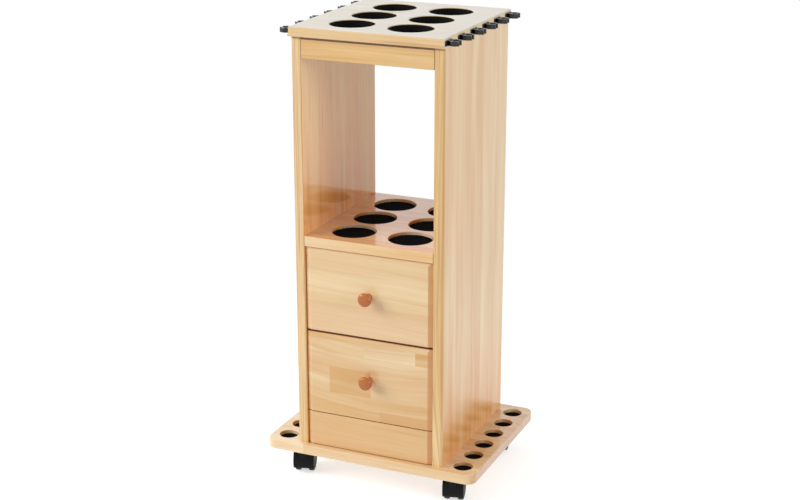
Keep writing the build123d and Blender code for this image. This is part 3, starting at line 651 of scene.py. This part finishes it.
# painted shade: the +X bevel, the edges and the line at the gap above
lowerFrontLook = {
    "axes": "XZY", "seed": 3.0,
    "pale": linear(242, 218, 174), "warm": linear(221, 172, 106), "line": linear(206, 142, 80),
    "endGrainAndShade": frontEdgeTone, "seamShadeTone": frontGapShade,
    "stave": 0.0475, "staveShift": 0.182, "blockTone": 0.35,
    "blocks": ((-0.074, 0.003, 0.182, 0.2295, (1.25, 0.4, 0.2)),
               (0.085, 0.13, 0.2545, 0.277, (1.15, 0.6, 0.4)),
               (-0.2, 0.2, 0.2295, 0.2545, (0.5, 0.4, 0.5)),
               (0.02, 0.12, 0.14, 0.16, (1.2, 0.2, 0.4))),
    "sweep": (-0.04, 0.8), "pith": (0.36, -0.03), "ringGap": 0.017, "ringDepth": 0.5,
    "bands": 0.7, "streaks": 0.35, "flushing": 0.3,
    "cut": 1.0, "bevel": 0.75, "edges": 1.0,
    "seamShades": (("Z", 0.2871, 0.2885, 0.75),),
}
frontLowerPine = pine("lower drawer pine", lowerFrontLook)

# painted shade: the +X bevel, the edges and the line at the gap below
upperFrontLook = {
    "axes": "XZY", "seed": 7.0,
    "pale": linear(244, 218, 172), "warm": linear(234, 196, 140), "flush": linear(232, 190, 150),
    "endGrainAndShade": frontEdgeTone, "seamShadeTone": frontGapShade,
    "stave": 0.053, "staveShift": 0.293, "blockTone": 0.4,
    "blocks": ((-1.0, 1.0, 0.2, 0.346, (0.75, 0.5, 1.2)),
               (-1.0, 1.0, 0.346, 0.399, (0.3, 0.5, 0.1)),
               (-1.0, 1.0, 0.399, 0.5, (0.5, 0.5, 0.3))),
    "sweep": (-0.04, 0.0), "pith": (0.4, -0.07), "ringGap": 0.013, "ringDepth": 0.25,
    "bands": 1.0, "streaks": 0.4,
    "cut": 1.0, "bevel": 0.75, "edges": 1.0,
    "seamShades": (("Z", 0.2905, 0.2918, 0.75),),
}
frontUpperPine = pine("upper drawer pine", upperFrontLook)

# painted shade: the +X bevel, the edges and the line along the foot
toeLook = {
    "axes": "XZY", "seed": 5.0,
    "pale": linear(236, 202, 150), "warm": linear(226, 182, 124), "endGrainAndShade": linear(212, 146, 80),
    "stave": 0.09, "staveShift": 0.06,
    "pith": (0.11, -0.1), "ringGap": 0.012, "ringDepth": 0.2,
    "bands": 0.7, "streaks": 0.4, "flushing": 0.4,
    "cut": 1.0, "bevel": 0.8, "edges": 0.9,
    "seamShades": (("Z", 0.0, 0.0795, 0.7),),
}
toePine = pine("toe panel pine", toeLook)

# painted shade: the edges, and lines under the top plate and at the panels
friezeLook = {
    "axes": "XZY", "seed": 9.0,
    "pale": linear(240, 204, 144), "warm": linear(226, 180, 112), "line": linear(190, 120, 56),
    "stave": 0.09, "staveShift": 0.72,
    "pith": (0.8, -0.15), "ringGap": 0.0045, "ringDepth": 0.5,
    "streaks": 0.9, "flushing": 0.2,
    "cut": 0.8, "edges": 0.8,
    "seamShades": (("Z", 0.7895, 0.795, 0.85), ("X", -0.12, -0.1162, 0.55), ("X", 0.1162, 0.12, 0.55)),
}
friezePine = pine("frieze pine", friezeLook)

# painted sheen: the top's near-white colours stand in for its glancing reflection; the sides are kept pale as
# painted light against the clips' shade, and the front edge is tinted back to the wood's own colour
topLook = {
    "axes": "XYZ", "seed": 11.0,
    "pale": linear(250, 245, 233), "warm": linear(245, 237, 221), "flush": linear(243, 234, 219),
    "stave": 0.06, "pith": (0.0, 0.6), "flushing": 0.3,
    "cut": 0.0, "frontTint": (0.91, 0.69, 0.43), "sideTint": (1.02, 0.92, 0.73),
    "coat": 0.3, "gloss": 0.3, "specular": 0.1,
}
topPine = pine("top plate pine with painted sheen", topLook)

# painted shade and reflection: the shelf's deep orange stands for the shade it lies in and the side panels'
# warm reflection; its front edge is tinted back to plain pine, and the seams are painted shade at the panels
shelfLook = {
    "axes": "XYZ", "seed": 13.0,
    "pale": linear(236, 184, 112), "warm": linear(227, 152, 74),
    "stave": 0.06, "pith": (0.0, 0.3),
    "cut": 0.0, "frontTint": (1.13, 1.66, 3.0),
    "seamShades": (("X", -0.12, -0.1163, 0.5), ("X", 0.1163, 0.12, 0.5)), "specular": 0.25,
}
shelfPine = pine("shelf pine with painted shade", shelfLook)

baseLook = {
    "axes": "XYZ", "seed": 15.0,
    "pale": linear(246, 220, 178), "warm": linear(221, 168, 98), "flush": linear(228, 184, 126),
    "endGrainAndShade": linear(196, 132, 74),
    "stave": 0.062, "block": 0.34,
    # painted light: the left end takes the pale tone, for the stronger light on it
    "blocks": ((-1.0, -0.122, -1.0, 1.0, (-0.3, 0.5, 0.1)),),
    "pith": (0.0, 0.0), "streaks": 0.9,
    "cut": 0.6, "specular": 0.5,
}
basePine = pine("base plate pine", baseLook)

insideLook = {"axes": "YZX", "seed": 17.0, "stave": 0.2, "gloss": 0.4}
insidePine = pine("drawer box pine", insideLook)

runnerLook = {"axes": "XZY", "seed": 19.0, "stave": 0.2, "gloss": 0.4}
runnerPine = pine("cleat pine", runnerLook)

knobFinish = knobWood()
plyFinish = plywood()
feltFinish = felt()
linerFinish = plastic("black liner rubber", linerLook)
clipFinish = plastic("clip plastic", clipLook)
casterFinish = plastic("caster plastic", hoodLook)
treadFinish = plastic("wheel tread plastic", treadLook)
zincFinish = zinc()

dowelLook = {
    "axes": "XYZ", "seed": 23.0,
    "pale": linear(226, 190, 148), "warm": linear(214, 172, 128),
    "stave": 0.3,
}
dowelFinish = pine("beech dowel", dowelLook)


# which finish each CAD node gets

finishes = {
    "side_panel_left": leftPine, "side_panel_right": rightPine,
    "drawer_lower_front": frontLowerPine, "drawer_upper_front": frontUpperPine,
    "toe_panel": toePine, "frieze_rail": friezePine, "rear_rail": friezePine,
    "top_plate": topPine, "shelf": shelfPine, "base_plate": basePine, "toe_cleat": runnerPine,
    "back_panel": plyFinish, "tube_liners": linerFinish, "shelf_pads": feltFinish,
    "runner_screws": zincFinish, "clip_screws": zincFinish,
    "case_screws": zincFinish, "caster_screws": zincFinish, "case_dowels": dowelFinish,
}
for side in ("left", "right"):
    finishes[f"base_pads_{side}"] = feltFinish
    finishes[f"rod_clips_{side}"] = clipFinish
    finishes[f"drawer_runners_{side}"] = insidePine
    for drawer in ("lower", "upper"):
        finishes[f"drawer_{drawer}_side_{side}"] = insidePine
    for corner in ("front_left", "front_right", "rear_left", "rear_right"):
        finishes[f"caster_{corner}_wheel_{side}"] = treadFinish
for drawer in ("lower", "upper"):
    finishes[f"drawer_{drawer}_back"] = runnerPine
    finishes[f"drawer_{drawer}_bottom"] = plyFinish
    finishes[f"drawer_{drawer}_knob"] = knobFinish
    finishes[f"drawer_{drawer}_knob_screw"] = zincFinish
for corner in ("front_left", "front_right", "rear_left", "rear_right"):
    finishes[f"caster_{corner}_plate"] = zincFinish
    finishes[f"caster_{corner}_axle"] = zincFinish
    finishes[f"caster_{corner}_hood"] = casterFinish

for name, node in nodes.items():
    node.data.materials.clear()
    node.data.materials.append(finishes[name])
print("materials made:", len(set(finishes.values())))


# every new piece stands for a plain CAD node and rides on its body

def finishPiece(name, build, material, body, stoodFor):
    bmesh.ops.recalc_face_normals(build, faces=build.faces)
    mesh = bpy.data.meshes.new(name)
    for face in build.faces:
        face.smooth = True
    build.to_mesh(mesh)
    build.free()
    mesh.materials.append(material)
    piece = addObject(name, mesh)
    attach(piece, body)
    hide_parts(stoodFor)


# felt discs lie in the shelf's and the base's pockets, a little crowned and worn

padLook = {
    "segments": 72,
    "rim": 0.0009,           # rounding of the rim
    "rimSegments": 3,
    "loops": 5,              # rings of faces on the top
    "sag": 0.0002,           # every second ring steps down by this
    "lumps": 110.0,          # fineness of the wear
    "unevenness": 0.00035,   # depth of the wear
    "wornAbove": 0.002,      # height over the pocket's floor from which it is worn
    "fill": 0.9,
}
shelfPadLook = {"radius": 0.03785, "columns": (-0.052, 0.052), "rows": (-0.086, 0.0, 0.086)}
basePadLook = {"radius": 0.01635, "column": 0.165, "gap": 0.049, "count": 6}


def feltDisc(build, place, radius, low, high):
    made = bmesh.ops.create_cone(build, cap_ends=True, cap_tris=False, segments=padLook["segments"],
                                 radius1=radius, radius2=radius, depth=high - low,
                                 matrix=Matrix.Translation((*place, (low + high) / 2)))["verts"]
    level = {edge for vert in made for edge in vert.link_edges
             if abs(edge.verts[0].co.z - edge.verts[1].co.z) < 1e-6}
    bmesh.ops.bevel(build, geom=list(level), offset=padLook["rim"], offset_type="OFFSET",
                    segments=padLook["rimSegments"], profile=0.5, affect="EDGES", material=-1)
    top = [face for face in build.faces if len(face.verts) == padLook["segments"] and face.normal.z > 0.9]
    for step in range(padLook["loops"]):
        bmesh.ops.inset_region(build, faces=top, thickness=radius / (padLook["loops"] + 1),
                               depth=-padLook["sag"] if step % 2 else 0.0, use_even_offset=True)
    bmesh.ops.poke(build, faces=top)


def feltPads(name, places, radius, node):
    lowest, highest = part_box(node)
    build = bmesh.new()
    for place in places:
        feltDisc(build, place, radius, lowest[2], highest[2])
    for vert in build.verts:
        if vert.co.z > lowest[2] + padLook["wornAbove"]:
            vert.co.z -= padLook["unevenness"] * abs(perlin.noise(vert.co * padLook["lumps"]))
    finishPiece(name, build, feltFinish, "cabinet", node)


shelfPlaces = [(x, y) for x in shelfPadLook["columns"] for y in shelfPadLook["rows"]]
feltPads("shelfFelts", shelfPlaces, shelfPadLook["radius"], "shelf_pads")
baseMiddle = (basePadLook["count"] - 1) / 2
baseRows = [(number - baseMiddle) * basePadLook["gap"] for number in range(basePadLook["count"])]
for side, column in (("left", -basePadLook["column"]), ("right", basePadLook["column"])):
    feltPads(f"baseFelts_{side}", [(column, y) for y in baseRows], basePadLook["radius"], f"base_pads_{side}")
print("felt pads made")


# foam rubber sleeves line the six holes of the top, with rolled lips

sleeveLook = {
    "outer": 0.03785,
    "wall": 0.003,
    "lip": 0.0014,           # rounding of the lips
    "lipMiddle": 0.3,        # where the rounding's middle point lies, as a share of it
    "waist": 0.0005,         # the wall is this much thinner halfway down
    "steps": 72,
    "fill": 0.9,
}


def sleeveOutline(top, bottom):
    # radius and height of the points round one wall
    outer, inner, lip = sleeveLook["outer"], sleeveLook["outer"] - sleeveLook["wall"], sleeveLook["lip"]
    part = lip * sleeveLook["lipMiddle"]
    outline = []
    for level, way in ((top, 1), (bottom, -1)):
        rounds = [(inner, level - way * lip), (inner + part, level - way * part), (inner + lip, level),
                  (outer - lip, level), (outer - part, level - way * part), (outer, level - way * lip)]
        outline += rounds[::way]
    outline.append((inner + sleeveLook["waist"], (top + bottom) / 2))
    return outline


def linerSleeves():
    lowest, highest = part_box("tube_liners")
    build = bmesh.new()
    for x, y in shelfPlaces:
        verts = [build.verts.new((x + radius, y, z)) for radius, z in sleeveOutline(highest[2], lowest[2])]
        edges = [build.edges.new((verts[i - 1], verts[i])) for i in range(len(verts))]
        bmesh.ops.spin(build, geom=verts + edges, cent=(x, y, 0), axis=(0, 0, 1), angle=math.tau,
                       steps=sleeveLook["steps"], use_merge=True, use_duplicate=False)
    finishPiece("linerSleeves", build, linerFinish, "cabinet", "tube_liners")


linerSleeves()
print("liner sleeves made")


# sharp-edged boards get a softened arris

arrisLook = {"weld": 0.00002, "segments": 2, "angle": 40}
softened = {"toe_panel": 0.0006, "back_panel": 0.0004, "toe_cleat": 0.0008,
            "rod_clips_left": 0.0004, "rod_clips_right": 0.0004}
for drawer in ("lower", "upper"):
    for board in ("side_left", "side_right", "back", "bottom"):
        softened[f"drawer_{drawer}_{board}"] = 0.0006
for name, width in softened.items():
    weld = nodes[name].modifiers.new("weld", "WELD")
    weld.merge_threshold = arrisLook["weld"]
    arris = nodes[name].modifiers.new("arris", "BEVEL")
    arris.width = width
    arris.segments = arrisLook["segments"]
    arris.limit_method = "ANGLE"
    arris.angle_limit = math.radians(arrisLook["angle"])
    arris.harden_normals = True
print("arrises softened:", len(softened))


# floor, world, lamps and camera

room = {
    "floorSize": 14.0,
    "floorColour": (0.85, 0.85, 0.85, 1),
    "floorFade": (0.45, 1.5),          # from here to here the floor turns plain white
    "floorGlow": 0.62,
    "ambient": 0.40,
    "key": {"from": (-2.6, -1.9, 2.0), "to": (0, 0, 0.42), "size": (2.2, 2.0), "watts": 95.0},
    "fill": {"from": (3.2, -1.0, 1.3), "to": (0, 0, 0.42), "size": (1.6, 1.8), "watts": 40.0},
    "back": {"from": (-1.55, 3.3, 1.65), "to": (0, 0, 0.45), "size": (3.4, 1.7), "watts": 3.0},
}


def seenRays(tree):
    # 1 for what the camera sees, straight or by way of gloss and glass, and 0 for light on the object
    rays = addNode(tree, "ShaderNodeLightPath", {}).outputs
    mirrored = calc(tree, "MAXIMUM", rays["Is Glossy Ray"], rays["Is Transmission Ray"])
    return calc(tree, "MAXIMUM", rays["Is Camera Ray"], mirrored)


def floorMaterial():
    material = bpy.data.materials.new("studio floor")
    tree = emptyTree(material)
    seen = seenRays(tree)
    matt = addNode(tree, "ShaderNodeBsdfDiffuse", {"Color": room["floorColour"]})
    glow = addNode(tree, "ShaderNodeEmission", {"Strength": times(tree, seen, room["floorGlow"])})
    near = addNode(tree, "ShaderNodeAddShader", {0: matt.outputs[0], 1: glow.outputs[0]})
    # far off it is plain white to the eye, and lights the object half as much
    far = addNode(tree, "ShaderNodeEmission", {"Strength": calc(tree, "MULTIPLY_ADD", seen, 0.5, 0.5)})
    distance = addNode(tree, "ShaderNodeVectorMath", {0: objectPlace(tree)}, operation="LENGTH")
    start, end = room["floorFade"]
    inputs = {"Value": distance.outputs["Value"], "From Min": start, "From Max": end}
    fade = addNode(tree, "ShaderNodeMapRange", inputs, interpolation_type="SMOOTHSTEP")
    mix = addNode(tree, "ShaderNodeMixShader", {0: fade.outputs[0], 1: near.outputs[0], 2: far.outputs[0]})
    addNode(tree, "ShaderNodeOutputMaterial", {0: mix.outputs[0]})
    return material


floorMesh = bpy.data.meshes.new("floor")
build = bmesh.new()
bmesh.ops.create_grid(build, x_segments=1, y_segments=1, size=room["floorSize"] / 2)
build.to_mesh(floorMesh)
build.free()
floorMesh.materials.append(floorMaterial())
floor = addObject("floor", floorMesh)

world = bpy.data.worlds.new("studio")
bpy.context.scene.world = world
sky = emptyTree(world)
strength = addNode(sky, "ShaderNodeMix", {0: seenRays(sky), 2: room["ambient"], 3: 1.0}, data_type="FLOAT")
light = addNode(sky, "ShaderNodeBackground", {"Color": (1, 1, 1, 1), "Strength": strength.outputs[0]})
addNode(sky, "ShaderNodeOutputWorld", {0: light.outputs[0]})


def lamp(name, look):
    data = bpy.data.lights.new(name, "AREA")
    data.shape = "RECTANGLE"
    data.size, data.size_y = look["size"]
    data.energy = look["watts"]
    item = addObject(name, data)
    item.location = look["from"]
    item.rotation_euler = (Vector(look["to"]) - Vector(look["from"])).to_track_quat("-Z", "Y").to_euler()
    item.visible_camera = False


for name in ("key", "fill", "back"):
    lamp(f"{name} softbox", room[name])
print("floor, world and lamps ready")

view = {
    "azimuth": 23.62,                  # degrees round from the front, towards +X
    "elevation": 18.01,
    "distance": 2.835,
    "height": 0.392,                   # the camera turns about this height over the origin
    "aim": (-0.00466, 0.01189),        # and is moved by this much to the right and up
    "lens": 73.47,
    "sensor": 36.0,
    "clipEnd": 100.0,
}
turn = math.radians(view["azimuth"])
lift = math.radians(view["elevation"])
towards = Vector((math.sin(turn) * math.cos(lift), -math.cos(turn) * math.cos(lift), math.sin(lift)))
rightward = Vector((math.cos(turn), math.sin(turn), 0))
upward = towards.cross(rightward)
cameraData = bpy.data.cameras.new("camera")
cameraData.lens = view["lens"]
cameraData.sensor_width = view["sensor"]
cameraData.clip_end = view["clipEnd"]
camera = addObject("camera", cameraData)
camera.location = (Vector((0, 0, view["height"])) + towards * view["distance"]
                   + rightward * view["aim"][0] + upward * view["aim"][1])
camera.rotation_euler = (-towards).to_track_quat("-Z", "Y").to_euler()
bpy.context.scene.camera = camera
bpy.context.scene.view_settings.view_transform = "Standard"
print("camera ready")
